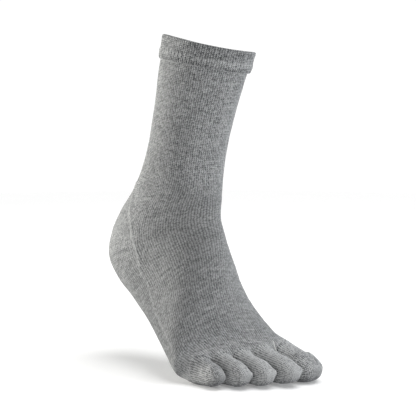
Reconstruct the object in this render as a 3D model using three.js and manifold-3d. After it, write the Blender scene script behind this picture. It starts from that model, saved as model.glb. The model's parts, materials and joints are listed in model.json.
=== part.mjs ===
// A right-foot toe sock, held in the shape of the raised foot that wears it.
// Lengths are in millimetres. +X points to the toes, +Y to the big-toe side, +Z up.
// The origin is on the inner face of the sole, under the ball of the foot.
import * as THREE from "three";
import { mergeVertices } from "three/addons/utils/BufferGeometryUtils.js";
import Module from "manifold-3d";

const wasm = await Module();
wasm.setup();

// Named sizes
const SOLE_LENGTH = 180;      // from the ball of the foot to the back of the heel
const INSTEP_HEIGHT = 110;    // from the sole to the front of the ankle
const FOOT_WIDTH = 98;        // across the ball of the foot
const LEG_LENGTH = 180;       // from the ankle to the rim
const ANKLE_DEPTH = 80;       // front to back at the ankle
const ANKLE_WIDTH = 66;       // side to side at the ankle
const TOE_LENGTH = 62;        // the big toe, with the part that runs back into the foot
const TOE_WIDTH = 27.6;       // the big toe
const TOE_HEIGHT = 33;        // the big toe where it leaves the foot
const WALL = 1.6;             // one layer of knitted cloth
const GAP = 0.3;              // between neighbouring pieces
const CUFF_HEIGHT = 21;       // the turned band at the top
const CUFF_PROUD = 2.4;       // how far the band stands out from the leg
const RIM_SAG = 1.6;          // how far the rim dips on the outer front, and rises a quarter turn away
const RIM_TILT = 1.4;         // how far the rim dips on the inner front, and rises opposite
const FOOT_PITCH = 30;        // degrees from the floor to the sole, heel raised
const LEG_LEAN = 13;          // degrees the leg leans towards the toes
const TOE_LIFT = 0.6;         // the toes' undersides above the floor

// Where the ankle's centre lies, as shares of SOLE_LENGTH and INSTEP_HEIGHT
const ANKLE_BACK = -0.68;
const ANKLE_UP = 0.68;

// Mesh fineness
const RINGS_PER_ROW = 2;
const BODY_SIDES = 36;
const TOE_RINGS = 10;
const TOE_SIDES = 16;
const FLATNESS = 0.03;        // corners this close to flat are left out

// Sections of the foot from the webs between the toes to the top of the heel.
// Each runs from a point on top (topX, topZ) to a point on the sole (soleX, soleZ): shares of
// SOLE_LENGTH and INSTEP_HEIGHT. The first four lie along the floor, the rest along the pitched sole.
// middle, lateral and medial are shares of FOOT_WIDTH. widest is how high the widest line lies.
// topPower and solePower square the two halves of the oval. skew moves the big-toe side forward.
const FOOT_COLUMNS = ["topX", "topZ", "soleX", "soleZ", "middle", "lateral", "medial", "widest",
  "topPower", "solePower", "skew"];
const FLAT_ROWS = [
  [0.165, 0.12, 0.163, 0.040, 0.00, 0.24, 0.28, 0.42, 2.2, 2.6, 0.50],
  [0.160, 0.19, 0.152, 0.008, 0.00, 0.41, 0.46, 0.42, 2.3, 2.8, 0.50],
  [0.145, 0.26, 0.110, 0.000, -0.01, 0.46, 0.51, 0.42, 2.3, 2.8, 0.46],
  [0.120, 0.35, 0.040, 0.000, -0.02, 0.49, 0.53, 0.42, 2.2, 3.2, 0.38],
];
const PITCHED_ROWS = [
  [-0.045, 0.48, -0.020, 0.005, -0.04, 0.51, 0.51, 0.42, 2.10, 3.2, 0.28],
  [-0.115, 0.60, -0.150, 0.015, -0.06, 0.48, 0.455, 0.40, 2.00, 2.8, 0.20],
  [-0.205, 0.74, -0.330, 0.015, -0.06, 0.43, 0.39, 0.40, 1.95, 2.6, 0.10],
  [-0.290, 0.87, -0.510, 0.015, -0.05, 0.38, 0.37, 0.38, 1.95, 2.4, 0.04],
  [-0.350, 0.97, -0.680, 0.010, -0.04, 0.355, 0.355, 0.36, 1.95, 2.3, 0.00],
  [-0.395, 1.04, -0.840, 0.025, -0.03, 0.345, 0.345, 0.36, 1.95, 2.2, 0.00],
  [-0.425, 1.09, -0.970, 0.130, -0.03, 0.340, 0.340, 0.38, 1.95, 2.1, 0.00],
  [-0.450, 1.14, -1.030, 0.320, -0.02, 0.335, 0.335, 0.44, 1.95, 2.0, 0.00],
  [-0.475, 1.19, -1.030, 0.550, -0.01, 0.335, 0.335, 0.48, 1.95, 2.0, 0.00],
];

// Sections of the leg. up is a share of LEG_LENGTH, front and back of ANKLE_DEPTH,
// side and middle of ANKLE_WIDTH.
const LEG_COLUMNS = ["up", "front", "back", "side", "middle"];
const LEG_ROWS = [
  [0.30, 0.565, 0.535, 0.50, 0.01],
  [0.46, 0.49, 0.50, 0.50, 0.04],
  [0.63, 0.49, 0.49, 0.51, 0.06],
  [0.81, 0.53, 0.52, 0.54, 0.08],
  [1.00, 0.59, 0.55, 0.57, 0.10],
];

// The toes. rootX and tipX are shares of TOE_LENGTH from the origin, rootY and tipY of FOOT_WIDTH,
// width is a share of TOE_WIDTH, and rootHeight and tipHeight of TOE_HEIGHT.
const TOE_COLUMNS = ["name", "rootX", "rootY", "tipX", "tipY", "width", "rootHeight", "tipHeight"];
const TOE_ROWS = [
  ["little_toe", -0.10, -0.380, 0.58, -0.420, 0.56, 0.80, 0.56],
  ["fourth_toe", 0.06, -0.215, 0.82, -0.260, 0.60, 0.86, 0.60],
  ["third_toe", 0.16, -0.040, 1.02, -0.095, 0.64, 0.90, 0.62],
  ["second_toe", 0.26, 0.145, 1.23, 0.095, 0.73, 0.96, 0.64],
  ["big_toe", 0.32, 0.385, 1.25, 0.340, 1.00, 1.00, 0.66],
];
const TOE_BLUNT = 0.64;       // share of a toe's length after which its tip rounds off
const TOE_ROOT = 0.30;        // share of a toe's length over which it swells out of the foot
const TOE_TIP_POWER = 2.4;    // how squarely the tip rounds off
const TOE_OVAL_POWER = 2.3;   // how squarely a toe's section is rounded
const TOE_WAIST = 0.03;       // share of its width that a toe narrows halfway

// The line where the toes leave the foot, seen from above: shares of TOE_LENGTH and FOOT_WIDTH
const CROTCH_LINE = [
  [0.04, -0.60],
  [0.20, -0.38],
  [0.42, -0.18],
  [0.57, 0.00],
  [0.72, 0.22],
  [0.92, 0.60],
];

// The heel pouch's front edge in the side view, from the ankle down to the arch: shares of SOLE_LENGTH
// for both columns, measured from the origin along X and Z
const HEEL_LINE = [
  [-0.54, 0.92],
  [-0.49, 0.77],
  [-0.44, 0.61],
  [-0.34, 0.48],
  [-0.24, 0.36],
  [-0.32, 0.16],
];
// The line between leg and foot in the side view, in the same shares
const ANKLE_LINE = [
  [0.40, 0.86],
  [-0.54, 0.92],
  [-1.30, 0.96],
];

// The band's outer face: share of CUFF_HEIGHT up from its lower edge, share of CUFF_PROUD outwards
const CUFF_COLUMNS = ["up", "out"];
const CUFF_ROWS = [
  [0.00, 0.30],
  [0.03, 0.72],
  [0.10, 0.98],
  [0.22, 1.08],
  [0.38, 1.05],
  [0.55, 0.90],
  [0.75, 0.82],
  [0.92, 0.80],
  [0.98, 0.62],
  [1.00, 0.25],
];

const DEGREE = Math.PI / 180;
const ALONG_SOLE = [Math.cos(FOOT_PITCH * DEGREE), -Math.sin(FOOT_PITCH * DEGREE)];
const OFF_SOLE = [Math.sin(FOOT_PITCH * DEGREE), Math.cos(FOOT_PITCH * DEGREE)];
const UP_LEG = [Math.sin(LEG_LEAN * DEGREE), Math.cos(LEG_LEAN * DEGREE)];
const ACROSS_LEG = [Math.cos(LEG_LEAN * DEGREE), -Math.sin(LEG_LEAN * DEGREE)];
const FLOOR = -WALL;
const FAR = 2 * (SOLE_LENGTH + LEG_LENGTH);    // beyond the whole part

function named(columns, row) {
  return Object.fromEntries(columns.map((column, index) => [column, row[index]]));
}

function fromFrame(along, off, a, b) {
  return [a * along[0] + b * off[0], a * along[1] + b * off[1]];
}

// A section as a list of numbers, so that neighbouring sections can be blended
function footSection(row, along, off) {
  const r = named(FOOT_COLUMNS, row);
  const top = fromFrame(along, off, r.topX * SOLE_LENGTH, r.topZ * INSTEP_HEIGHT);
  const sole = fromFrame(along, off, r.soleX * SOLE_LENGTH, r.soleZ * INSTEP_HEIGHT);
  return [...top, ...sole, r.middle * FOOT_WIDTH, r.lateral * FOOT_WIDTH, r.medial * FOOT_WIDTH,
    r.widest, r.topPower, r.solePower, r.skew];
}

function legSection(row) {
  const r = named(LEG_COLUMNS, row);
  const ankle = fromFrame(ALONG_SOLE, OFF_SOLE, ANKLE_BACK * SOLE_LENGTH, ANKLE_UP * INSTEP_HEIGHT);
  const rise = r.up * LEG_LENGTH;
  const centre = [ankle[0] + rise * UP_LEG[0], ankle[1] + rise * UP_LEG[1]];
  const front = r.front * ANKLE_DEPTH;
  const back = r.back * ANKLE_DEPTH;
  const side = r.side * ANKLE_WIDTH;
  return [centre[0] + front * ACROSS_LEG[0], centre[1] + front * ACROSS_LEG[1],
    centre[0] - back * ACROSS_LEG[0], centre[1] - back * ACROSS_LEG[1],
    r.middle * ANKLE_WIDTH, side, side, 0.5, 2, 2, 0];
}

const SECTIONS = [
  ...FLAT_ROWS.map((row) => footSection(row, [1, 0], [0, 1])),
  ...PITCHED_ROWS.map((row) => footSection(row, ALONG_SOLE, OFF_SOLE)),
  ...LEG_ROWS.map((row) => legSection(row)),
];
const LAST = SECTIONS.length - 1;

// The section at a fractional row, on a smooth curve through the rows
function sectionAt(place) {
  const start = Math.min(Math.floor(place), LAST - 1);
  const t = place - start;
  const p1 = SECTIONS[start];
  const p2 = SECTIONS[start + 1];
  const p0 = SECTIONS[start - 1] ?? p1.map((value, i) => 2 * value - p2[i]);
  const p3 = SECTIONS[start + 2] ?? p2.map((value, i) => 2 * value - p1[i]);
  return p1.map((value, i) => 0.5 * (2 * value + (p2[i] - p0[i]) * t
    + (2 * p0[i] - 5 * value + 4 * p2[i] - p3[i]) * t * t
    + (3 * value - p0[i] - 3 * p2[i] + p3[i]) * t ** 3));
}

function rounded(value, power) {
  return Math.sign(value) * Math.abs(value) ** (2 / power);
}

// A point of the outer face. Angle 0 is the top or front, a quarter turn the big-toe side.
function bodyPoint(section, angle) {
  const [topX, topZ, soleX, soleZ, middle, lateral, medial, widest, topPower, solePower, skew] = section;
  const c = Math.cos(angle);
  const s = Math.sin(angle);
  const power = c > 0 ? topPower : solePower;
  const high = c > 0 ? widest + (1 - widest) * rounded(c, power) : widest + widest * rounded(c, power);
  const y = (s > 0 ? medial : lateral) * rounded(s, power);
  const z = soleZ + high * (topZ - soleZ);
  return new THREE.Vector3(soleX + high * (topX - soleX) + skew * y, middle + y, FLOOR + Math.max(z, 0));
}

function circle(sides, pointAt) {
  return Array.from({ length: sides }, (_, j) => pointAt((2 * Math.PI * j) / sides));
}

function bodyRing(place, sides = BODY_SIDES) {
  const section = sectionAt(place);
  return circle(sides, (angle) => bodyPoint(section, angle));
}

// Outward directions at every point of a stack of rings
function outward(rings) {
  const last = rings.length - 1;
  return rings.map((ring, i) => {
    const sides = ring.length;
    const centre = ring.reduce((sum, p) => sum.add(p), new THREE.Vector3()).divideScalar(sides);
    const directions = ring.map((p, j) => {
      const along = rings[Math.min(i + 1, last)][j].clone().sub(rings[Math.max(i - 1, 0)][j]);
      const round = ring[(j + 1) % sides].clone().sub(ring[(j + sides - 1) % sides]);
      return along.cross(round).normalize();
    });
    const facing = ring.reduce((sum, p, j) => sum + p.clone().sub(centre).dot(directions[j]), 0);
    return directions.map((d) => (facing < 0 ? d.negate() : d));
  });
}

// Rings moved in by a wall's thickness, and kept a wall's thickness above the floor
function inset(rings, directions) {
  return rings.map((ring, i) => ring.map((p, j) => {
    const q = p.clone().addScaledVector(directions[i][j], -WALL);
    q.z = Math.max(q.z, FLOOR + WALL);
    return q;
  }));
}

// A closed mesh from a stack of rings. With endCaps its ends are fans, otherwise its last ring meets its first.
function ringMesh(rings, endCaps) {
  const sides = rings[0].length;
  const positions = rings.flat().flatMap((p) => [p.x, p.y, p.z]);
  const triangles = [];
  const bands = endCaps ? rings.length - 1 : rings.length;
  for (let i = 0; i < bands; i += 1) {
    const next = (i + 1) % rings.length;
    for (let j = 0; j < sides; j += 1) {
      const k = (j + 1) % sides;
      const a = i * sides + j;
      const b = i * sides + k;
      const c = next * sides + k;
      const d = next * sides + j;
      triangles.push(a, b, c, a, c, d);
    }
  }
  if (endCaps) {
    for (const [ring, first] of [[0, true], [rings.length - 1, false]]) {
      const centre = rings[ring].reduce((sum, p) => sum.add(p), new THREE.Vector3()).divideScalar(sides);
      const middle = positions.length / 3;
      positions.push(centre.x, centre.y, centre.z);
      for (let j = 0; j < sides; j += 1) {
        const a = ring * sides + j;
        const b = ring * sides + ((j + 1) % sides);
        triangles.push(...(first ? [middle, b, a] : [middle, a, b]));
      }
    }
  }
  const geometry = new THREE.BufferGeometry();
  geometry.setAttribute("position", new THREE.Float32BufferAttribute(positions, 3));
  geometry.setIndex(signedVolume(positions, triangles) < 0 ? triangles.reverse() : triangles);
  return geometry;
}

function signedVolume(positions, triangles) {
  const corner = (index) => new THREE.Vector3().fromArray(positions, 3 * index);
  let sum = 0;
  for (let t = 0; t < triangles.length; t += 3) {
    const cross = corner(triangles[t + 1]).cross(corner(triangles[t + 2]));
    sum += corner(triangles[t]).dot(cross) / 6;
  }
  return sum;
}

function solid(geometry) {
  const bare = new THREE.BufferGeometry();
  bare.setAttribute("position", geometry.getAttribute("position").clone());
  if (geometry.index) {
    bare.setIndex(geometry.index.clone());
  }
  const merged = mergeVertices(bare, 1e-4);
  return new wasm.Manifold(new wasm.Mesh({
    numProp: 3,
    vertProperties: new Float32Array(merged.getAttribute("position").array),
    triVerts: new Uint32Array(merged.index.array),
  }));
}

// A path moved sideways to its left by a distance
function offsetPath(path, distance) {
  const normals = path.slice(1).map((p, i) => p.clone().sub(path[i]).normalize())
    .map((d) => new THREE.Vector2(-d.y, d.x));
  return path.map((p, i) => {
    const before = normals[Math.max(i - 1, 0)];
    const after = normals[Math.min(i, normals.length - 1)];
    const mid = before.clone().add(after).normalize();
    return p.clone().addScaledVector(mid, distance / mid.dot(after));
  });
}

function pathOf(shares, firstSize, secondSize) {
  return shares.map(([a, b]) => new THREE.Vector2(a * firstSize, b * secondSize));
}

// A tall cutter over a plan outline
function uprightCutter(outline) {
  const geometry = new THREE.ExtrudeGeometry(new THREE.Shape(outline), { depth: 2 * FAR, bevelEnabled: false });
  geometry.translate(0, 0, -FAR);
  return solid(geometry);
}

// A wide cutter over a side-view outline
function sidewaysCutter(outline) {
  const geometry = new THREE.ExtrudeGeometry(new THREE.Shape(outline), { depth: 2 * FAR, bevelEnabled: false });
  geometry.translate(0, 0, -FAR);
  geometry.rotateX(Math.PI / 2);
  return solid(geometry);
}

function toeRings(toe) {
  const root = new THREE.Vector2(toe.rootX * TOE_LENGTH, toe.rootY * FOOT_WIDTH);
  const tip = new THREE.Vector2(toe.tipX * TOE_LENGTH, toe.tipY * FOOT_WIDTH);
  const heading = tip.clone().sub(root).normalize();
  return Array.from({ length: TOE_RINGS }, (_, i) => {
    const t = 0.5 - 0.5 * Math.cos(Math.PI * (i / (TOE_RINGS - 1)) * 0.97);
    const rounding = Math.max((t - TOE_BLUNT) / (1 - TOE_BLUNT), 0);
    const swelling = 1 - Math.max(1 - t / TOE_ROOT, 0) * 0.9;
    const fullness = (1 - rounding ** TOE_TIP_POWER) ** (1 / TOE_TIP_POWER)
      * Math.sqrt(swelling * (2 - swelling));
    const narrowing = 1 - TOE_WAIST * Math.sin(Math.PI * t);
    const halfWidth = 0.5 * toe.width * TOE_WIDTH * fullness * narrowing;
    const height = (toe.rootHeight + (toe.tipHeight - toe.rootHeight) * t) * TOE_HEIGHT;
    const middle = root.clone().lerp(tip, t);
    return circle(TOE_SIDES, (angle) => {
      const across = halfWidth * rounded(Math.sin(angle), TOE_OVAL_POWER);
      const z = 0.5 * height * (1 + fullness * rounded(Math.cos(angle), TOE_OVAL_POWER));
      return new THREE.Vector3(middle.x - heading.y * across, middle.y + heading.x * across,
        FLOOR + TOE_LIFT + z);
    });
  });
}

function toeWalls(toe) {
  const rings = toeRings(toe);
  return {
    name: toe.name,
    outer: solid(ringMesh(rings, true)),
    inner: solid(ringMesh(inset(rings, outward(rings)), true)),
  };
}

// The band at the top: its outline goes up the outer face and down the inner one
function cuffMesh(lowest) {
  const outer = CUFF_ROWS.map((row) => named(CUFF_COLUMNS, row));
  const outline = [
    ...outer.map((r) => [r.up, r.out * CUFF_PROUD]),
    [0.99, -0.6 * WALL],
    [0.96, -WALL],
    [0.66, -WALL],
    [0.33, -WALL],
    [0.00, -WALL],
  ];
  const rings = outline.map(([up, out]) => {
    const place = lowest + (LAST - lowest) * up;
    const stack = [bodyRing(place - 0.01), bodyRing(place), bodyRing(place + 0.01)];
    const directions = outward(stack)[1];
    return stack[1].map((p, j) => {
      const angle = (2 * Math.PI * j) / BODY_SIDES;
      const dip = RIM_SAG * Math.cos(2 * angle + Math.PI / 2) + RIM_TILT * Math.cos(angle - Math.PI / 4);
      return p.clone().addScaledVector(directions[j], out)
        .sub(new THREE.Vector3(dip * up * UP_LEG[0], 0, dip * up * UP_LEG[1]));
    });
  });
  return ringMesh(rings, false);
}

function bodyWalls(highest) {
  const places = [];
  for (let i = 0; i / RINGS_PER_ROW < highest; i += 1) {
    places.push(i / RINGS_PER_ROW);
  }
  const outerRings = [...places, highest].map((place) => bodyRing(place));
  const innerRings = [...places, highest + 0.08].map((place) => bodyRing(place));
  return {
    outer: solid(ringMesh(outerRings, true)),
    inner: solid(ringMesh(inset(innerRings, outward(innerRings)), true)),
  };
}

const rowStep = (LEG_ROWS.at(-1)[0] - LEG_ROWS.at(-2)[0]) * LEG_LENGTH;
const cuffFoot = LAST - CUFF_HEIGHT / rowStep;
const cuff = cuffMesh(cuffFoot);
const body = bodyWalls(cuffFoot - GAP / rowStep);
const toes = TOE_ROWS.map((row) => toeWalls(named(TOE_COLUMNS, row)));

// The whole stocking below the cuff: every outer form less every hollow
let shell = body.outer;
for (const toe of toes) {
  shell = shell.add(toe.outer);
}
shell = shell.subtract(body.inner);
for (const toe of toes) {
  shell = shell.subtract(toe.inner);
}

// Ahead of the crotch line lie the toes
const crotch = pathOf(CROTCH_LINE, TOE_LENGTH, FOOT_WIDTH);
const ahead = (line) => uprightCutter([...line, new THREE.Vector2(FAR, line.at(-1).y),
  new THREE.Vector2(FAR, line[0].y)]);
const toeSpace = ahead(crotch);
const toeSpaceWide = ahead(offsetPath(crotch, GAP));

// Above the ankle line lies the leg, behind the heel line the heel
const ankle = pathOf(ANKLE_LINE, SOLE_LENGTH, SOLE_LENGTH);
const above = (line) => sidewaysCutter([...line, new THREE.Vector2(line.at(-1).x, FAR),
  new THREE.Vector2(line[0].x, FAR)]);
const legSpace = above(ankle);
const legSpaceWide = above(offsetPath(ankle, GAP));
const heelFront = pathOf(HEEL_LINE, SOLE_LENGTH, SOLE_LENGTH);
const behind = (line) => sidewaysCutter([...line, new THREE.Vector2(-FAR, -FAR), new THREE.Vector2(-FAR, FAR),
  new THREE.Vector2(line[0].x, FAR)]);
const heelSpace = behind(heelFront);
const heelSpaceWide = behind(offsetPath(heelFront, GAP));

const belowLeg = shell.subtract(legSpaceWide).subtract(toeSpaceWide);
const pieces = [
  ["leg", shell.intersect(legSpace)],
  ["heel", belowLeg.intersect(heelSpace)],
  ["foot", belowLeg.subtract(heelSpaceWide)],
  ...toes.map((toe) => [toe.name, toe.outer.subtract(toe.inner).subtract(body.inner).intersect(toeSpace)]),
].map(([name, manifold]) => [name, manifold.simplify(FLATNESS)]);

function material(colour, roughness) {
  return new THREE.MeshStandardMaterial({ color: colour, roughness, metalness: 0 });
}

const COLOURS = {
  cuff: "#8f908f",
  leg: "#8a8b8b",
  heel: "#959594",
  foot: "#868787",
  little_toe: "#8c8d8d",
  fourth_toe: "#8b8c8c",
  third_toe: "#8c8d8d",
  second_toe: "#8b8c8c",
  big_toe: "#8d8e8e",
};

function toMesh(name, manifold) {
  const made = manifold.getMesh();
  const geometry = new THREE.BufferGeometry();
  geometry.setAttribute("position", new THREE.BufferAttribute(made.vertProperties, 3));
  geometry.setIndex(new THREE.BufferAttribute(made.triVerts, 1));
  geometry.computeVertexNormals();
  const mesh = new THREE.Mesh(geometry, material(COLOURS[name], 0.95));
  mesh.name = name;
  return mesh;
}

const sock = new THREE.Group();
sock.name = "toe_sock";
sock.add(toMesh("cuff", solid(cuff)));
for (const [name, manifold] of pieces) {
  sock.add(toMesh(name, manifold));
}

export default sock;
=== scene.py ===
"""A right-foot toe sock in melange grey knit, worn with the heel raised, in a pale studio.

Lengths in the tables are in millimetres. +X points to the toes, +Y to the big-toe side, +Z up.
The origin is on the inner face of the sole, under the ball of the foot.
"""
import json
import math

import bpy
import numpy as np
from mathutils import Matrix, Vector
from mathutils.bvhtree import BVHTree

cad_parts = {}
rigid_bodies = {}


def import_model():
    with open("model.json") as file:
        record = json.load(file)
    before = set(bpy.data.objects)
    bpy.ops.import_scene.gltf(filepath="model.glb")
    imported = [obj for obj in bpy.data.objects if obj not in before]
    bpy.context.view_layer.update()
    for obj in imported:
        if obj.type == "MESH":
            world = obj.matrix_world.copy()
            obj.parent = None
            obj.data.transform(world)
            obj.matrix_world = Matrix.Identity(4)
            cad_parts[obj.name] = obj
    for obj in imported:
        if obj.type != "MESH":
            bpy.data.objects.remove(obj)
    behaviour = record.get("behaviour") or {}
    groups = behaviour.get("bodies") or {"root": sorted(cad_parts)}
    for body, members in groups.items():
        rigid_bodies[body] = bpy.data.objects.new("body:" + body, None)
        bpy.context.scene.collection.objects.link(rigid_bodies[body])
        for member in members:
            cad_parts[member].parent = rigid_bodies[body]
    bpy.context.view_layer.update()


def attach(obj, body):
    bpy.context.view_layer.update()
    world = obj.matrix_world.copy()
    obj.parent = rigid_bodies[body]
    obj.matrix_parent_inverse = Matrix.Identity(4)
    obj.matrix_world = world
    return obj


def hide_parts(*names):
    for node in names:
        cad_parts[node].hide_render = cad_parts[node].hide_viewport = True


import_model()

bl_info = {
    "name": "Toe sock",
    "version": (1, 0, 0),
    "blender": (4, 5, 0),
    "location": "View3D > Sidebar > Toe sock",
    "description": "Knits a toe sock around its packed frame and sets it in a pale studio",
    "category": "Object",
}

MM = 0.001

# Named sizes, the same as the frame's solids
SOLE_LENGTH = 180
INSTEP_HEIGHT = 110
FOOT_WIDTH = 98
LEG_LENGTH = 180
ANKLE_DEPTH = 80
ANKLE_WIDTH = 66
TOE_LENGTH = 62
TOE_WIDTH = 27.6
TOE_HEIGHT = 33
WALL = 1.6
CUFF_HEIGHT = 21
CUFF_PROUD = 2.4
RIM_SAG = 1.6
RIM_TILT = 1.4
FOOT_PITCH = math.radians(30)
LEG_LEAN = math.radians(13)
TOE_LIFT = 0.6
ANKLE_BACK = -0.68
ANKLE_UP = 0.68
FLOOR = -WALL

# Sections of the foot: topX, topZ, soleX, soleZ, middle, lateral, medial, widest, topPower, solePower, skew
FLAT_ROWS = (
    (0.165, 0.12, 0.163, 0.040, 0.00, 0.24, 0.28, 0.42, 2.2, 2.6, 0.50),
    (0.160, 0.19, 0.152, 0.008, 0.00, 0.41, 0.46, 0.42, 2.3, 2.8, 0.50),
    (0.145, 0.26, 0.110, 0.000, -0.01, 0.46, 0.51, 0.42, 2.3, 2.8, 0.46),
    (0.120, 0.35, 0.040, 0.000, -0.02, 0.49, 0.53, 0.42, 2.2, 3.2, 0.38),
)
PITCHED_ROWS = (
    (-0.045, 0.48, -0.020, 0.005, -0.04, 0.51, 0.51, 0.42, 2.10, 3.2, 0.28),
    (-0.115, 0.60, -0.150, 0.015, -0.06, 0.48, 0.455, 0.40, 2.00, 2.8, 0.20),
    (-0.205, 0.74, -0.330, 0.015, -0.06, 0.43, 0.39, 0.40, 1.95, 2.6, 0.10),
    (-0.290, 0.87, -0.510, 0.015, -0.05, 0.38, 0.37, 0.38, 1.95, 2.4, 0.04),
    (-0.350, 0.97, -0.680, 0.010, -0.04, 0.355, 0.355, 0.36, 1.95, 2.3, 0.00),
    (-0.395, 1.04, -0.840, 0.025, -0.03, 0.345, 0.345, 0.36, 1.95, 2.2, 0.00),
    (-0.425, 1.09, -0.970, 0.130, -0.03, 0.340, 0.340, 0.38, 1.95, 2.1, 0.00),
    (-0.450, 1.14, -1.030, 0.320, -0.02, 0.335, 0.335, 0.44, 1.95, 2.0, 0.00),
    (-0.475, 1.19, -1.030, 0.550, -0.01, 0.335, 0.335, 0.48, 1.95, 2.0, 0.00),
)
# Sections of the leg: up, front, back, side, middle
LEG_ROWS = (
    (0.30, 0.565, 0.535, 0.50, 0.01),
    (0.46, 0.49, 0.50, 0.50, 0.04),
    (0.63, 0.49, 0.49, 0.51, 0.06),
    (0.81, 0.53, 0.52, 0.54, 0.08),
    (1.00, 0.59, 0.55, 0.57, 0.10),
)
# name, rootX, rootY, tipX, tipY, width, rootHeight, tipHeight
TOE_ROWS = (
    ("little_toe", -0.10, -0.380, 0.58, -0.420, 0.56, 0.80, 0.56),
    ("fourth_toe", 0.06, -0.215, 0.82, -0.260, 0.60, 0.86, 0.60),
    ("third_toe", 0.16, -0.040, 1.02, -0.095, 0.64, 0.90, 0.62),
    ("second_toe", 0.26, 0.145, 1.23, 0.095, 0.73, 0.96, 0.64),
    ("big_toe", 0.32, 0.385, 1.25, 0.340, 1.00, 1.00, 0.66),
)
# How the knit of each toe differs from its solid: how far in mm the tip's underside rises and its top sinks,
# how far the corner at the end of the closing line stands out in mm and how high it sits, how full the cap is
# in mm, how much lighter the yarn looks, and how bold the ribs are, as a share
TOE_KNIT = {
    "little_toe": (2.0, 0.3, 0.8, 0.1, 0.3, 0.09, 0.5),
    "fourth_toe": (1.2, 0.3, 2.2, 0.2, 0.35, 0.31, 0.8),
    "third_toe": (0.8, 0.3, 2.4, 0.3, 0.4, 0.40, 0.9),
    "second_toe": (1.9, 0.6, 2.2, 0.4, 0.4, 0.37, 1.0),
    "big_toe": (0.3, 2.4, 0.6, 0.2, 1.8, 0.31, 1.0),
}
TOE_BLUNT = 0.64
TOE_ROOT = 0.30
TOE_TIP_POWER = 2.4
TOE_OVAL_POWER = 2.3
TOE_WAIST = 0.03
# Where the sewn cap of a toe begins, as a share of its length
TOE_CAP = 0.70
# The corner at the end of the closing line: its place along the toe and across it, and its reach in mm
CORNER_ALONG = 0.93
CORNER_ACROSS = 0.30
CORNER_REACH = 2.8
# Widths of the soft joins in mm, between the foot and the toes and between two toes
WEB_FILLET = 9.0
TOE_FILLET = 1.4

# The band's outer face: share of its height, share of how far it stands out
CUFF_ROWS = ((0.00, -0.10), (0.00, 0.45), (0.02, 0.78), (0.06, 1.00), (0.13, 1.12), (0.24, 1.14),
             (0.36, 1.05), (0.50, 0.88), (0.64, 0.80), (0.78, 0.79), (0.90, 0.80), (0.96, 0.70),
             (0.99, 0.45), (1.00, 0.10), (0.995, -0.30), (0.97, -0.60), (0.92, -0.667))

# The line of loops on the band: how high it is as a share of the band's height, and how far it stands out.
# The fold of the rolled edge is at its own share of that height
LOOPS_UP = 0.33
LOOPS_HEIGHT = 0.35
ROLL_UP = 0.04

# Seam lines on the heel in the side view, X and Z
HEEL_UPPER = ((-99, 172), (-96, 161), (-92, 141), (-88, 133), (-84, 121), (-78, 109))
HEEL_LOWER = ((-78, 109), (-73, 97), (-69, 88), (-60, 81), (-54, 73), (-43, 58), (-25, 44), (-12, 32))
HEEL_SUTURE = ((-78, 109), (-86, 109.5), (-94, 108), (-112, 103), (-132, 98))
# Each seam's line, how high it stands as a share of the seam height, the width of that ridge, how much
# lighter it is drawn (the sunken suture darker, as painted shade in its crease), the width of that tone, and
# how uneven both are
HEEL_SEAMS = (
    (HEEL_LOWER, 1.0, 1.5, 0.10, 2.2, 0.5),
    (HEEL_UPPER, 1.0, 1.3, 0.16, 1.8, 0.5),
    (HEEL_SUTURE, -0.9, 0.9, -0.10, 1.1, 0.0),
)

# Creases at the bend of the ankle in the side view, X and Z, how deep they are, and how wide
ANKLE_FOLDS = (
    (((-70, 104), (-58, 116), (-38, 125), (-14, 131)), 0.45),
    (((-66, 88), (-56, 100), (-36, 110), (-12, 116), (0, 118)), 0.35),
    (((-52, 76), (-40, 88), (-22, 96), (4, 100)), 0.40),
    (((-44, 64), (-30, 74), (-8, 82), (14, 84)), 0.30),
    (((-84, 122), (-66, 134), (-44, 141), (-26, 145)), 0.25),
    (((-30, 52), (-14, 60), (8, 66), (26, 66)), 0.25),
)
FOLD_WIDTH = 1.3

# How far the worn cloth stands off the plain form, by height, on the heel's side and on the toes' side,
# and the level direction from the one side to the other
DRAPE_BACK = ((0, 0.0), (20, 0.3), (34, 1.3), (55, 1.2), (64, 0.1), (80, 0.2), (94, 1.2), (146, 1.0),
              (162, -0.7), (176, 0.0), (190, 1.1), (212, 0.2), (228, 1.2), (278, 1.2), (292, 0.0))
DRAPE_FRONT = ((0, 0.0), (15, -1.0), (30, -1.3), (50, -1.0), (62, 0.6), (72, 1.8), (95, 1.5), (112, 0.3),
               (130, -0.5), (150, -1.1), (176, -1.1), (200, 0.0))
DRAPE_FACING = (0.71, 0.70, 0)
# The worn rim hangs this much lower than the solid's all round, and tips this much to the inner back
RIM_DROP = 1.4
RIM_LEAN = 1.0
# Its two dips are this much shallower than the solid's
RIM_CALMER = 0.4

# The loose yarn end at the root of the second toe, and its thickness
YARN_END = ((42.8, 21.8, 21.4), (43.0, 20.0, 24.6), (41.6, 20.4, 27.4),
            (39.2, 21.6, 30.0), (37.4, 22.0, 32.4))
YARN_THICK = 0.8

# The knit. Wales and courses are drawn a little coarser than a fine sock's, so that they still show from
# the camera and don't blur into one flat grey
RIB_SAMPLES = 4
BODY_WALES = 120
BODY_COLUMNS = BODY_WALES * RIB_SAMPLES
BODY_RINGS = 182
INNER_COLUMNS = 96
INNER_RINGS = 64
WALE = 2.0
COURSE = 1.5
# The furrows lie this far inside the plain form, and a skin sinks this far where another one covers it, over
# this depth under that one
SET_IN = 0.3
SINK = 1.0
SINK_OVER = 2.5
# Points that lie further than this under another skin are cut away
BURIED = -5

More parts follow.
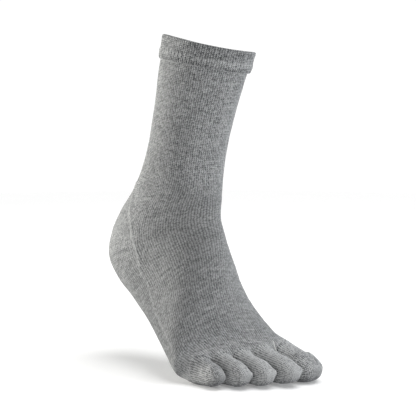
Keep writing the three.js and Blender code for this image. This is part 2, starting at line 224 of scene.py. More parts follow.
# Unevenness of the worn cloth: how much, the length of its waves in mm, and a seed
RIB_UNEVEN = (0.25, 9, 3)
LONG_WAVES = (0.22, 34, 5)
SHORT_WAVES = (0.10, 11, 6)
SEAM_UNEVEN = (1.0, 7, 12)
FOLD_UNEVEN = (0.5, 18, 14)
WALE_WANDER = (0.4, 13, 15)
CUFF_WAVES = (0.15, 21, 8)
TOE_WAVES = (0.12, 12, 9)

# Tones added to a lightness between 0 and 1, the yarn's own and some painted shade as marked, and where they
# fade in, in mm. The mean shade is what the streaks, bands and slow change add on average, and a little more:
# it is taken off again
MEAN_SHADE = 0.415
FOREFOOT_LIGHTER = 0.15
FOREFOOT_X = (-25, 12)
FOREFOOT_Z = (20, 50)
# the heel's lower part is drawn darker: painted shade under the raised heel
HEEL_PAINTED_SHADE = 0.17
HEEL_Z = (80, 110)
INSTEP_Z = (120, 150)
INSTEP_DARKER = 0.02
OUTER_SIDE_DARKER = 0.05
OUTER_SIDE_Y = (-30, -5)
INSTEP_CALMER = 0.28
# The cuff: all over, on its line of loops, and painted shade on its rolled lower edge
CUFF_TONE = -0.10
LOOPS_TONE = 0.18
ROLL_PAINTED_SHADE = -0.10
# The toes: at the root, on the cap with a share of its fullness, on its line, painted shade in its groove,
# painted shade in the creases between toes, and painted shade on the underside in two steps
ROOT_TONE = 0.12
CAP_TONE = (-0.03, -0.10)
LINE_TONE = 0.08
GROOVE_PAINTED_SHADE = -0.20
CREASE_PAINTED_SHADE = -0.60
UNDERSIDE_PAINTED_SHADE = ((-0.30, -0.15, 0.75), (-0.30, 0.35, 0.85))

# The studio: camera and aim in mm, and the lights' place in metres, size, power and tint
CAMERA_PLACE = (518.39, -548.23, 181.58)
CAMERA_AIM = (-21.3, 0, 148.8)
LENS = 73.18
SENSOR = 36
LIGHT_AIM = (-0.03, 0, 0.14)
PANELS = (
    ("left_panel", (-2.5, -1.0, 0.30), 0.6, 99, (1.0, 0.98, 0.91)),
    ("right_panel", (0.5, 2.4, 0.30), 1.2, 12, (0.88, 0.94, 1.0)),
    ("toe_panel", (0.80, 0.30, 0.16), 0.2, 2.8, (0.92, 0.96, 1.0)),
)
SUN_FROM = (0.30, 0.10, 1)
SUN_POWER = 1.95
SUN_SPREAD = math.radians(48)
AIR_LIGHT = 0.325
AIR_SEEN = 1.05
FLOOR_GLOW = 0.19
FLOOR_SIZE = 12


def section_frame(along, off, a, b):
    """X and Z of a point a along the sole and b off it."""
    return (a * along[0] + b * off[0], a * along[1] + b * off[1])


def body_sections():
    """All sections from the webs between the toes to the rim, one row of numbers each."""
    along_sole = (math.cos(FOOT_PITCH), -math.sin(FOOT_PITCH))
    off_sole = (math.sin(FOOT_PITCH), math.cos(FOOT_PITCH))
    table = []
    for rows, along, off in ((FLAT_ROWS, (1, 0), (0, 1)), (PITCHED_ROWS, along_sole, off_sole)):
        for r in rows:
            top = section_frame(along, off, r[0] * SOLE_LENGTH, r[1] * INSTEP_HEIGHT)
            sole = section_frame(along, off, r[2] * SOLE_LENGTH, r[3] * INSTEP_HEIGHT)
            table.append((*top, *sole, *(v * FOOT_WIDTH for v in r[4:7]), *r[7:]))
    up = (math.sin(LEG_LEAN), math.cos(LEG_LEAN))
    across = (math.cos(LEG_LEAN), -math.sin(LEG_LEAN))
    ankle = section_frame(along_sole, off_sole, ANKLE_BACK * SOLE_LENGTH, ANKLE_UP * INSTEP_HEIGHT)
    for rise, front, back, side, middle in LEG_ROWS:
        centre = [ankle[k] + rise * LEG_LENGTH * up[k] for k in (0, 1)]
        table.append((*(centre[k] + front * ANKLE_DEPTH * across[k] for k in (0, 1)),
                      *(centre[k] - back * ANKLE_DEPTH * across[k] for k in (0, 1)),
                      middle * ANKLE_WIDTH, side * ANKLE_WIDTH, side * ANKLE_WIDTH, 0.5, 2, 2, 0))
    return np.array(table, float)


SECTIONS = body_sections()
LAST = len(SECTIONS) - 1
# The row at the cuff's foot
CUFF_FOOT = LAST - CUFF_HEIGHT / (LEG_LENGTH * (LEG_ROWS[-1][0] - LEG_ROWS[-2][0]))
UP_LEG = np.array((math.sin(LEG_LEAN), 0, math.cos(LEG_LEAN)))


def catmull_rom(a, b, c, d, t):
    """A point of the smooth curve from b to c, with a and d as its neighbours."""
    return 0.5 * (2 * b + (c - a) * t + (2 * a - 5 * b + 4 * c - d) * t ** 2
                  + (3 * b - a - 3 * c + d) * t ** 3)


def section_at(place):
    """The section at a fractional row, on a smooth curve through the rows."""
    ends = np.vstack([2 * SECTIONS[0] - SECTIONS[1], SECTIONS, 2 * SECTIONS[-1] - SECTIONS[-2]])
    start = int(min(max(math.floor(place), 0), LAST - 1))
    return catmull_rom(*ends[start:start + 4], place - start)


def rounded(value, power):
    """A sine or cosine squared off for an oval of the given power."""
    return np.sign(value) * np.abs(value) ** (2 / power)


def body_ring(place, angles):
    """Points of the foot or leg at a row. Angle 0 is the top or front, a quarter turn the big-toe side."""
    (top_x, top_z, sole_x, sole_z, middle, lateral, medial,
     widest, top_power, sole_power, skew) = section_at(place)
    c, s = np.cos(angles), np.sin(angles)
    power = np.where(c > 0, top_power, sole_power)
    high = widest + np.where(c > 0, 1 - widest, widest) * rounded(c, power)
    side = np.where(s > 0, medial, lateral) * rounded(s, power)
    x = sole_x + high * (top_x - sole_x) + skew * side
    z = FLOOR + np.maximum(sole_z + high * (top_z - sole_z), 0)
    return np.stack([x, middle + side, z], axis=-1)


def even_columns(ring_at, columns):
    """Angles that part a closed ring into equal lengths, from the sole or the back round to it again."""
    fine = np.linspace(math.pi, 3 * math.pi, 481)
    steps = np.linalg.norm(np.diff(ring_at(fine), axis=0), axis=1)
    along = np.concatenate([[0], np.cumsum(steps)])
    return np.interp(np.linspace(0, along[-1], columns + 1), along, fine)


def even_ring(place, columns):
    """Points of the foot or leg at a row, the same length apart."""
    return body_ring(place, even_columns(lambda angles: body_ring(place, angles), columns))


def ring_lengths(points):
    """How far along a tube each of its rings is, as the mean over the columns."""
    steps = np.linalg.norm(np.diff(points, axis=0), axis=2).mean(axis=1)
    return np.concatenate([[0], np.cumsum(steps)])


def even_places(lowest, highest, rings):
    """Rows that part the foot and leg into about equal lengths, and how far along each row is."""
    fine = np.linspace(lowest, highest, 1500)
    angles = np.linspace(0, 2 * math.pi, 8, endpoint=False)
    along = ring_lengths(np.array([body_ring(place, angles) for place in fine]))
    lengths = np.linspace(0, along[-1], rings)
    return np.interp(lengths, along, fine), lengths


def outward(points):
    """Outward directions on a grid of points, rings by columns, whose last column closes on its first."""
    along = np.gradient(points, axis=0)
    around = np.empty_like(points)
    around[:, 1:-1] = points[:, 2:] - points[:, :-2]
    around[:, 0] = around[:, -1] = points[:, 1] - points[:, -2]
    direction = np.cross(along, around)
    direction /= np.maximum(np.linalg.norm(direction, axis=2, keepdims=True), 1e-9)
    centre = points[:, :-1].mean(axis=1, keepdims=True)
    return direction * np.sign(((points - centre) * direction).sum())


def tree_of(points):
    """A search tree over a closed skin of rings, with a fan at each end."""
    rings, columns = points.shape[0], points.shape[1] - 1
    corners = [tuple(p) for p in points[:, :-1].reshape(-1, 3)]
    faces = [(i * columns + j, i * columns + (j + 1) % columns,
              (i + 1) * columns + (j + 1) % columns, (i + 1) * columns + j)
             for i in range(rings - 1) for j in range(columns)]
    for ring in (0, rings - 1):
        corners.append(tuple(points[ring, :-1].mean(axis=0)))
        for j in range(columns):
            face = (len(corners) - 1, ring * columns + j, ring * columns + (j + 1) % columns)
            faces.append(face[::-1] if ring == 0 else face)
    tree = BVHTree.FromPolygons(corners, faces)
    middle = points[rings // 2, 0]
    outside = Vector(middle + outward(points)[rings // 2, 0])
    near, normal, _, _ = tree.find_nearest(outside)
    return tree, 1 if (outside - near).dot(normal) > 0 else -1


def signed(shape, point):
    """How far a point lies outside a skin, and the direction away from it."""
    tree, turn = shape
    near, normal, _, distance = tree.find_nearest(point)
    side = 1 if (point - near).dot(normal) * turn >= 0 else -1
    return side * distance, (point - near) * (side / distance) if distance > 0.02 else normal * turn


def soft_join(a, b, width):
    """Blends two (distance, direction) pairs, so that skins meet in a fillet."""
    h = min(max(0.5 + 0.5 * (b[0] - a[0]) / width, 0), 1)
    return b[0] + (a[0] - b[0]) * h - width * h * (1 - h), b[1].lerp(a[1], h)


def blended(point, near):
    """Distance and direction from the joined skins, and the distance from each skin on its own."""
    alone = {name: signed(SKINS[name], point) for name in near}
    toes = [alone[name] for name in near if name != "body"]
    whole = toes[0] if toes else alone["body"]
    for other in toes[1:]:
        whole = soft_join(whole, other, TOE_FILLET)
    if toes and "body" in alone:
        whole = soft_join(alone["body"], whole, WEB_FILLET)
    return whole, {name: pair[0] for name, pair in alone.items()}


def settle(name, rings):
    """Raises the rings of one skin along its own normals to where the skins blend.

    Gives the raised rings and how much further from the other skins each point lies than from its own.
    A point that another skin covers is raised a little less and so lies just under it.
    """
    points, normals = rings.reshape(-1, 3), outward(rings).reshape(-1, 3)
    raised, lead = points.copy(), np.full(len(points), 99.0)
    for index, start in enumerate(points):
        start, normal = Vector(start), Vector(normals[index])
        reach = {other: signed(skin, start)[0] for other, skin in SKINS.items() if other != name}
        near = [name, *(other for other, gap in reach.items() if gap < WEB_FILLET + 2)]
        if len(near) == 1:
            continue
        gap = min(reach.values() if name == "body" else [reach["body"]])
        room = TOE_FILLET + (WEB_FILLET - TOE_FILLET) * float(step_down(gap, WEB_FILLET / 3, WEB_FILLET))
        most = room / 4 + 0.35
        lift = 0.0
        for _ in range(5):
            (depth, away), alone = blended(start + normal * lift, near)
            lift = min(max(lift - depth / max(away.dot(normal), 0.4), 0), most)
            if abs(depth) < 0.02:
                break
        raised[index] = start + normal * lift
        lead[index] = min(alone[other] for other in near if other != name) - alone[name]
    return raised.reshape(rings.shape), lead.reshape(rings.shape[:2])


def ripple(points, wave):
    """A gentle unevenness from a few waves in fixed directions. A wave is its strength, length and seed."""
    strength, size, seed = wave
    chance = np.random.default_rng(seed)
    total = np.zeros(points.shape[:-1])
    for _ in range(7):
        heading = chance.normal(size=3)
        heading *= chance.uniform(0.6, 1.4) * 2 * math.pi / size / np.linalg.norm(heading)
        total += np.sin(points @ heading + chance.uniform(0, 2 * math.pi))
    return strength * total / 7


def smooth_line(corners, pieces=8):
    """A smooth curve through the corners of a side-view line."""
    p = np.array(corners, float)
    ends = np.vstack([2 * p[0] - p[1], p, 2 * p[-1] - p[-2]])
    curve = [catmull_rom(a, b, c, d, t)
             for a, b, c, d in zip(ends, ends[1:], ends[2:], ends[3:])
             for t in np.linspace(0, 1, pieces, endpoint=False)]
    return np.array([*curve, p[-1]])


def side_distance(points, corners):
    """How far points are from a line in the side view."""
    line = smooth_line(corners)
    flat = points[..., (0, 2)]
    nearest = np.full(flat.shape[:-1], 1e9)
    for a, b in zip(line, line[1:]):
        run = b - a
        share = np.clip(((flat - a) @ run) / (run @ run), 0, 1)
        nearest = np.minimum(nearest, np.linalg.norm(flat - a - share[..., None] * run, axis=-1))
    return nearest


def step_up(value, low, high):
    """0 up to a low value and 1 from a high one, with a smooth step between."""
    t = np.clip((value - low) / (high - low), 0, 1)
    return t * t * (3 - 2 * t)


def step_down(value, low, high):
    """1 up to a low value and 0 from a high one, with a smooth step between."""
    return step_up(-value, -high, -low)


def hill(distance, width):
    """1 on a line, and smoothly down to 0 beside it."""
    return np.exp(-(distance / width) ** 2)


def drape(points, direction):
    """How far the worn cloth stands off the plain form, up to the roots of the toes."""
    facing = direction @ np.array(DRAPE_FACING)
    depth = np.interp(points[..., 2], *np.array(DRAPE_BACK).T) * np.maximum(-facing, 0)
    depth += np.interp(points[..., 2], *np.array(DRAPE_FRONT).T) * np.maximum(facing, 0)
    return depth * step_down(points[..., 0], -8, 12)


def ankle_folds(points):
    """Shallow creases across the instep, where the cloth bunches at the bend of the ankle."""
    depth = np.zeros(points.shape[:-1])
    for corners, strength in ANKLE_FOLDS:
        line = smooth_line(corners)
        along = np.clip((points[..., 0] - line[0, 0]) / (line[-1, 0] - line[0, 0]), 0, 1)
        fade = step_up(along, 0.0, 0.25) * step_down(along, 0.75, 1.0)
        depth += strength * fade * hill(side_distance(points, corners), FOLD_WIDTH)
    return depth


def heel_zone(points):
    """1 inside the heel pouch and 0 outside it, with a soft edge."""
    x, z = points[..., 0], points[..., 2]
    line = np.vstack([smooth_line(HEEL_LOWER)[::-1], smooth_line(HEEL_UPPER)])
    edge = np.interp(z, line[:, 1], line[:, 0])
    return step_up(edge - x, -1.5, 1.5) * step_up(z, 18, 40) * step_down(z, 150, 170)


def rib_shape(columns, samples=RIB_SAMPLES):
    """The cross shape of the ribs, one value for each column: 0 in a furrow and 1 on a wale."""
    phase = np.arange(columns + 1) / samples % 1
    return np.abs(np.sin(math.pi * phase)) ** 0.7


def only(piece):
    """Selects one object alone and makes it active."""
    bpy.ops.object.select_all(action="DESELECT")
    piece.select_set(True)
    bpy.context.view_layer.objects.active = piece


def knit_grid(name, points, wales, lengths, tone, grain):
    """A grid primitive wrapped round a set of rings, with its map counted in wales and courses.

    Gives the piece, and the ring and column of each of its vertices.
    """
    rings, columns = points.shape[0] - 1, points.shape[1] - 1
    bpy.ops.object.select_all(action="DESELECT")
    bpy.ops.mesh.primitive_grid_add(x_subdivisions=columns, y_subdivisions=rings, size=1, calc_uvs=True)
    piece = bpy.context.object
    piece.name = piece.data.name = name
    mesh = piece.data
    flat = np.empty(len(mesh.vertices) * 3)
    mesh.vertices.foreach_get("co", flat)
    flat = flat.reshape(-1, 3)
    j = np.rint((flat[:, 0] + 0.5) * columns).astype(int)
    i = np.rint((flat[:, 1] + 0.5) * rings).astype(int)
    mesh.vertices.foreach_set("co", (points[i, j] * MM).ravel())
    corner = np.empty(len(mesh.loops), int)
    mesh.loops.foreach_get("vertex_index", corner)
    mesh.uv_layers.active.name = "knit"
    across = j * (wales / columns)
    courses = (lengths / COURSE)[i]
    map_points = np.stack([across[corner], courses[corner]], axis=-1)
    mesh.uv_layers.active.data.foreach_set("uv", map_points.ravel())
    turn = 2 * math.pi * j / columns
    radius = wales * WALE / (2 * math.pi)
    cloth = np.stack([radius * np.cos(turn), radius * np.sin(turn), courses * COURSE], axis=-1)
    mesh.attributes.new("cloth", "FLOAT_VECTOR", "POINT").data.foreach_set("vector", cloth.ravel())
    mesh.attributes.new("tone", "FLOAT", "POINT").data.foreach_set("value", tone[i, j].ravel())
    grain = np.broadcast_to(grain, tone.shape)
    mesh.attributes.new("grain", "FLOAT", "POINT").data.foreach_set("value", grain[i, j].ravel())
    return piece, i, j


def join(pieces):
    """Makes one object of several."""
    bpy.ops.object.select_all(action="DESELECT")
    for piece in pieces:
        piece.select_set(True)
    bpy.context.view_layer.objects.active = pieces[0]
    bpy.ops.object.join()
    return pieces[0]


def weld(piece):
    """Closes the seam of a wrapped grid."""
    only(piece)
    bpy.ops.object.mode_set(mode="EDIT")
    bpy.ops.mesh.select_all(action="SELECT")
    bpy.ops.mesh.remove_doubles(threshold=0.00001)
    bpy.ops.mesh.select_all(action="DESELECT")
    bpy.ops.object.mode_set(mode="OBJECT")


def drop_faces(piece, unwanted):
    """Deletes the faces all of whose corners are marked in an array of True and False."""
    mesh = piece.data
    only(piece)
    bpy.ops.object.mode_set(mode="EDIT")
    bpy.ops.mesh.select_mode(type="FACE")
    bpy.ops.mesh.select_all(action="DESELECT")
    bpy.ops.object.mode_set(mode="OBJECT")
    chosen = [all(unwanted[v] for v in face.vertices) for face in mesh.polygons]
    mesh.polygons.foreach_set("select", chosen)
    bpy.ops.object.mode_set(mode="EDIT")
    bpy.ops.mesh.delete(type="FACE")
    bpy.ops.object.mode_set(mode="OBJECT")


def point_values(mesh, name):
    """The values of a point attribute."""
    values = np.empty(len(mesh.vertices))
    mesh.attributes[name].data.foreach_get("value", values)
    return values


def edge_loop(piece, flag):
    """Selects the edges whose two ends carry a flag, and stays in edit mode."""
    only(piece)
    bpy.ops.object.mode_set(mode="EDIT")
    bpy.ops.mesh.select_mode(type="EDGE")
    bpy.ops.mesh.select_all(action="DESELECT")
    bpy.ops.object.mode_set(mode="OBJECT")
    marks = point_values(piece.data, flag)
    chosen = [marks[e.vertices[0]] > 0.5 and marks[e.vertices[1]] > 0.5 for e in piece.data.edges]
    piece.data.edges.foreach_set("select", chosen)
    bpy.ops.object.mode_set(mode="EDIT")


def mark(piece, name, values):
    """Adds a point attribute with the given values."""
    piece.data.attributes.new(name, "FLOAT", "POINT").data.foreach_set("value", values.astype(float))


# Toes

def toe_grid(row, columns, turns=26, straight=30):
    """Rings of one toe from its root to its tip, and the share of its length at each ring."""
    name, root_x, root_y, tip_x, tip_y, width, root_height, tip_height = row
    rise, drop, corner, corner_height = TOE_KNIT[name][:4]
    root = np.array((root_x * TOE_LENGTH, root_y * FOOT_WIDTH))
    tip = np.array((tip_x * TOE_LENGTH, tip_y * FOOT_WIDTH))
    heading = (tip - root) / np.linalg.norm(tip - root)
    bends = np.linspace(0, math.radians(87), turns)
    shares = [*np.linspace(0, TOE_BLUNT, straight, endpoint=False),
              *(TOE_BLUNT + (1 - TOE_BLUNT) * np.sin(bends) ** (2 / TOE_TIP_POWER))]

    def ring_at(t, angles):
        rounding = max((t - TOE_BLUNT) / (1 - TOE_BLUNT), 0)
        swelling = 1 - max(1 - t / TOE_ROOT, 0) * 0.9
        fullness = (1 - rounding ** TOE_TIP_POWER) ** (1 / TOE_TIP_POWER)
        fullness *= math.sqrt(swelling * (2 - swelling))
        half_width = 0.5 * width * TOE_WIDTH * fullness * (1 - TOE_WAIST * math.sin(math.pi * t))
        height = (root_height + (tip_height - root_height) * t) * TOE_HEIGHT
        middle = root + (tip - root) * t
        across = half_width * rounded(np.sin(angles), TOE_OVAL_POWER)
        near_tip = float(step_up(t, 0.45, 0.95))
        low, high = rise * near_tip, height - drop * near_tip
        z = 0.5 * (low + high) + 0.5 * (high - low) * fullness * rounded(np.cos(angles), TOE_OVAL_POWER)
        return np.stack([middle[0] - heading[1] * across, middle[1] + heading[0] * across,
                         FLOOR + TOE_LIFT + z], axis=-1)

    rings = np.array([ring_at(t, even_columns(lambda a: ring_at(t, a), columns)) for t in shares])
    # the end of the sewn closing line pinches out a small corner on the big-toe side of the tip
    aside = np.array((-heading[1], heading[0])) * CORNER_ACROSS * width * TOE_WIDTH
    spot = (*(root + (tip - root) * CORNER_ALONG + aside),
            FLOOR + TOE_HEIGHT * tip_height * (0.55 + corner_height * 0.3))
    reach = np.linalg.norm(rings - np.array(spot), axis=2)
    rings += outward(rings) * (corner * hill(reach, CORNER_REACH))[..., None]
    return rings, np.array(shares)


def skins():
    """Search trees of the bare skins: the foot's and each toe's."""
    places = even_places(0.02, LAST, 130)[0]
    body = np.array([even_ring(place, 120) for place in places])
    shapes = {"body": tree_of(body)}
    for row in TOE_ROWS:
        shapes[row[0]] = tree_of(toe_grid(row, 56)[0])
    return shapes


SKINS = skins()


# Materials

def linear(hex_colour):
    """The linear colour of an sRGB hex value."""
    values = [int(hex_colour[k:k + 2], 16) / 255 for k in (1, 3, 5)]
    return tuple(v / 12.92 if v <= 0.04045 else ((v + 0.055) / 1.055) ** 2.4 for v in values)


def add(tree, kind, settings=None, links=None):
    """Adds a node with its settings and links. A key that is a property is set, any other is a socket."""
    made = tree.nodes.new(kind)
    for key, value in (settings or {}).items():
        if isinstance(key, str) and hasattr(made, key):
            setattr(made, key, value)
        else:
            made.inputs[key].default_value = value
    for key, source in (links or {}).items():
        tree.links.new(source, made.inputs[key])
    return made


def knit_material(name, sock, lightness, rib):
    """Melange grey wool and cotton knit: grey fibres of several tones carded together, so each
    stitch differs a little, with short streaks along the courses and a soft fuzz over all.

    The lightness is of the whole piece, and rib is how dark the painted shade in its furrows is.
    """
    material = bpy.data.materials.new(name)
    material.use_nodes = True
    tree = material.node_tree
    tree.nodes.clear()
    out = add(tree, "ShaderNodeOutputMaterial")
    shader = add(tree, "ShaderNodeBsdfPrincipled", {
        "Roughness": 0.95, "Specular IOR Level": 0.2,
        "Sheen Weight": 0.35, "Sheen Roughness": 0.5, "Sheen Tint": (0.9, 0.92, 0.95, 1)})
    tree.links.new(shader.outputs[0], out.inputs[0])
    stitches = add(tree, "ShaderNodeUVMap", {"uv_map": "knit"}).outputs[0]
    cloth = add(tree, "ShaderNodeAttribute", {"attribute_name": "cloth"}).outputs["Vector"]
    tone = add(tree, "ShaderNodeAttribute", {"attribute_name": "tone"}).outputs["Fac"]
    grain = add(tree, "ShaderNodeAttribute", {"attribute_name": "grain"}).outputs["Fac"]

    # yarn tone changes along a course: streaks about 13 mm long and less than a course high
    long_way = add(tree, "ShaderNodeVectorMath", {"operation": "MULTIPLY", 1: (0.075, 0.075, 0.85)},
                   {0: cloth}).outputs[0]
    streak = add(tree, "ShaderNodeTexNoise", {"Scale": 1.0, "Detail": 1.5, "Roughness": 0.5},
                 {"Vector": long_way}).outputs["Fac"]
    # wider bands of mixed yarn, about 33 mm long and 3 mm high
    wide_way = add(tree, "ShaderNodeVectorMath", {"operation": "MULTIPLY", 1: (0.03, 0.03, 0.32)},
                   {0: cloth}).outputs[0]
    band = add(tree, "ShaderNodeTexNoise", {"Scale": 1.0, "Detail": 2.0, "Roughness": 0.5},
               {"Vector": wide_way}).outputs["Fac"]
    # slow change over about 40 mm
    slow = add(tree, "ShaderNodeTexNoise", {"Scale": 0.025, "Detail": 2.0},
               {"Vector": cloth}).outputs["Fac"]

    # across a wale, from 0 in its middle to 1 in the furrow, where shade is painted
    parts = add(tree, "ShaderNodeSeparateXYZ", None, {0: stitches})
    u, v = parts.outputs[0], parts.outputs[1]
    fract = add(tree, "ShaderNodeMath", {"operation": "FRACT"}, {0: u}).outputs[0]
    centred = add(tree, "ShaderNodeMath", {"operation": "SUBTRACT", 1: 0.5}, {0: fract}).outputs[0]
    bare = add(tree, "ShaderNodeMath", {"operation": "ABSOLUTE"}, {0: centred}).outputs[0]
    aside = add(tree, "ShaderNodeMath", {"operation": "MULTIPLY", 1: 2.0}, {0: bare}).outputs[0]
    furrow_painted_shade = add(tree, "ShaderNodeMath", {"operation": "POWER", 1: 3.0}, {0: aside}).outputs[0]

    # the two legs of each stitch lean outwards as they rise
    lean = add(tree, "ShaderNodeMath", {"operation": "MULTIPLY_ADD", 1: -0.55}, {0: aside, 2: v}).outputs[0]
    angle = add(tree, "ShaderNodeMath", {"operation": "MULTIPLY", 1: 2 * math.pi}, {0: lean}).outputs[0]
    wave = add(tree, "ShaderNodeMath", {"operation": "SINE"}, {0: angle}).outputs[0]
    legs = add(tree, "ShaderNodeMath", {"operation": "MULTIPLY_ADD", 1: 0.5, 2: 0.5}, {0: wave}).outputs[0]
    # one random tone for each leg of each stitch
    legs_across = add(tree, "ShaderNodeMath", {"operation": "MULTIPLY", 1: 2.0}, {0: u}).outputs[0]
    leg = add(tree, "ShaderNodeCombineXYZ", None, {0: legs_across, 1: lean}).outputs[0]
    cell = add(tree, "ShaderNodeVectorMath", {"operation": "FLOOR"}, {0: leg}).outputs[0]
    speckle = add(tree, "ShaderNodeTexWhiteNoise", {"noise_dimensions": "2D"},
                  {"Vector": cell}).outputs["Value"]

    # single fibres, about 1 mm apart
    fibres = add(tree, "ShaderNodeTexNoise", {"Scale": 1.0, "Detail": 2.0, "Roughness": 0.7},
                 {"Vector": cloth}).outputs["Fac"]
    # what differs from stitch to stitch, painted shade in the furrows included, adds up to about zero, and
    # the grain attribute makes it bolder
    fine = add(tree, "ShaderNodeMath", {"operation": "MULTIPLY_ADD", 1: 0.44, 2: 0.10 * rib - 0.62},
               {0: speckle}).outputs[0]
    for share, part in ((0.40, fibres), (0.40, legs), (-0.40 * rib, furrow_painted_shade)):
        fine = add(tree, "ShaderNodeMath", {"operation": "MULTIPLY_ADD", 1: share},
                   {0: part, 2: fine}).outputs[0]
    shade = add(tree, "ShaderNodeMath", {"operation": "MULTIPLY_ADD"},
                {0: fine, 1: grain, 2: tone}).outputs[0]
    for share, part in ((0.42, streak), (0.12, slow), (0.18, band)):
        shade = add(tree, "ShaderNodeMath", {"operation": "MULTIPLY_ADD", 1: share},
                    {0: part, 2: shade}).outputs[0]
    shade = add(tree, "ShaderNodeMath", {"operation": "ADD", 1: lightness - MEAN_SHADE},
                {0: shade}).outputs[0]

    ramp = add(tree, "ShaderNodeValToRGB", None, {"Fac": shade})
    dark, light = ramp.color_ramp.elements
    dark.position, light.position = 0.0, 1.0
    dark.color = (*sock.yarn_dark, 1)
    light.color = (*sock.yarn_light, 1)
    tree.links.new(ramp.outputs[0], shader.inputs["Base Color"])

    # stitch legs with loose fibres over them, 0.4 mm high: too small for the mesh
    height = add(tree, "ShaderNodeMath", {"operation": "MULTIPLY_ADD", 1: 0.6},
                 {0: fibres, 2: legs}).outputs[0]
    bump = add(tree, "ShaderNodeBump", {"Strength": 0.8, "Distance": 0.0004}, {"Height": height})
    tree.links.new(bump.outputs[0], shader.inputs["Normal"])
    return material


def dress(piece, slot, material, *nodes):
    """Gives a finished piece its material and its body, and hides the nodes that it stands for. The slot is
    not used.
    """
    only(piece)
    piece.data.materials.clear()
    piece.data.materials.append(material)
    bpy.ops.object.shade_smooth()
    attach(piece, "root")
    if nodes:
        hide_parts(*nodes)


class ToeSockSettings(bpy.types.PropertyGroup):
    """Sizes and colours of the sock and its studio."""
    rib_height: bpy.props.FloatProperty(
        name="Rib height", description="From a furrow to the top of a wale", default=0.00036,
        unit="LENGTH")
    seam_height: bpy.props.FloatProperty(
        name="Seam height", description="How far the heel and toe seams stand up", default=0.0006,
        unit="LENGTH")
    cloth: bpy.props.FloatProperty(
        name="Cloth", description="Thickness of one layer of knit", default=0.0013, unit="LENGTH")
    yarn_dark: bpy.props.FloatVectorProperty(
        name="Dark fibres", description="The darkest tone in the yarn", subtype="COLOR",
        default=linear("#2f3133"))
    yarn_light: bpy.props.FloatVectorProperty(
        name="Light fibres", description="The lightest tone in the yarn", subtype="COLOR",
        default=linear("#c0c1c1"))
    floor_colour: bpy.props.FloatVectorProperty(
        name="Floor", description="The studio floor", subtype="COLOR", default=linear("#f3f3f3"))


